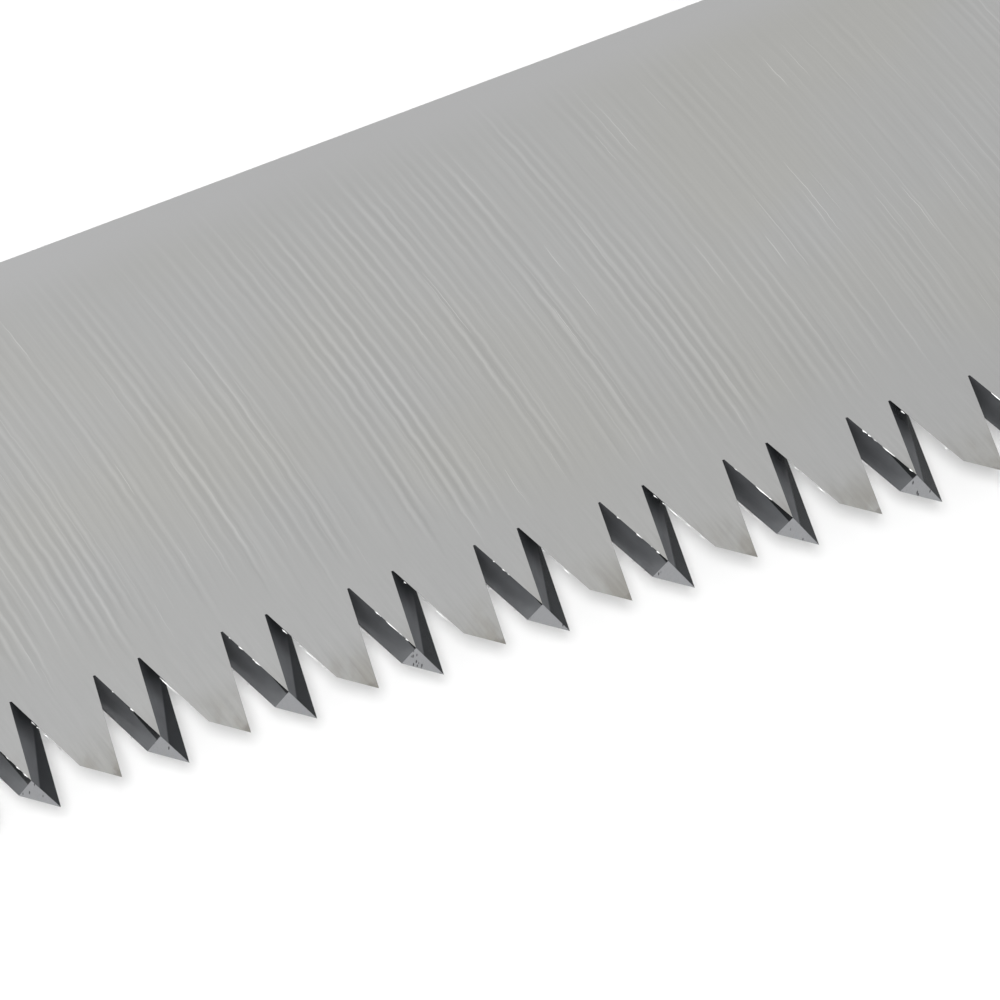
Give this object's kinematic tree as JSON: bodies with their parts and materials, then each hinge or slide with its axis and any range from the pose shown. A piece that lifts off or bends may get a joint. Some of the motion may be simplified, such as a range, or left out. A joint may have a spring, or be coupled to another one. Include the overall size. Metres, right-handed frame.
{
  "type": "folding hand saw",
  "caption": "Folding pull saw with a straight tapered steel blade, large triple-ground teeth, a steel-lined rubber handle and a top lock lever.",
  "frame": {"origin": "middle of the bottom of the whole saw's box, as the open saw lies on its right side", "axes": "+X from the toe of the blade to the butt of the handle, +Y from the teeth to the spine, +Z from the right side of the saw to the left"},
  "size_m": [0.555, 0.0565, 0.0224],
  "materials": {
    "blade_steel": "diagonally ground",
    "liner_steel": "satin, brushed lengthways",
    "lever_steel": "satin",
    "hardware_steel": "turned and polished",
    "screw_steel": "black oxide",
    "spring_steel": "tempered blue",
    "washer_bronze": "plain",
    "spacer_alloy": "anodised grey",
    "grip_rubber": "fine moulded texture",
    "pad_rubber": "ribbed"
  },
  "bodies": {
    "handle": {"pivot_barrel": "hardware_steel", "pivot_screw": "hardware_steel", "washer_left": "washer_bronze", "washer_right": "washer_bronze", "liner_left": "liner_steel", "liner_right": "liner_steel", "stop_pin": "hardware_steel", "back_spacer": "spacer_alloy", "end_spacer": "spacer_alloy", "spacer_rivets": "hardware_steel", "lanyard_tube": "hardware_steel", "lever_pin": "hardware_steel", "lever_spring": "spring_steel", "grip_left": "grip_rubber", "grip_right": "grip_rubber", "grip_screws_left": "screw_steel", "grip_screws_right": "screw_steel"},
    "blade": {"blade": "blade_steel"},
    "lock_lever": {"lock_lever": "lever_steel", "thumb_pad": "pad_rubber"}
  },
  "joints": [
    {"name": "blade_fold", "type": "hinge", "parent": "handle", "child": "blade", "pos_m": [-0.0105, -0.00425, 0.0112], "axis": [0, 0, 1], "range_deg": [0, 180]},
    {"name": "lever_press", "type": "hinge", "parent": "handle", "child": "lock_lever", "pos_m": [0.0255, 0.02075, 0.0112], "axis": [0, 0, 1], "range_deg": [0, 4.5], "stiffness_Nm_per_rad": 1.4, "springref_deg": 10.66}
  ]
}
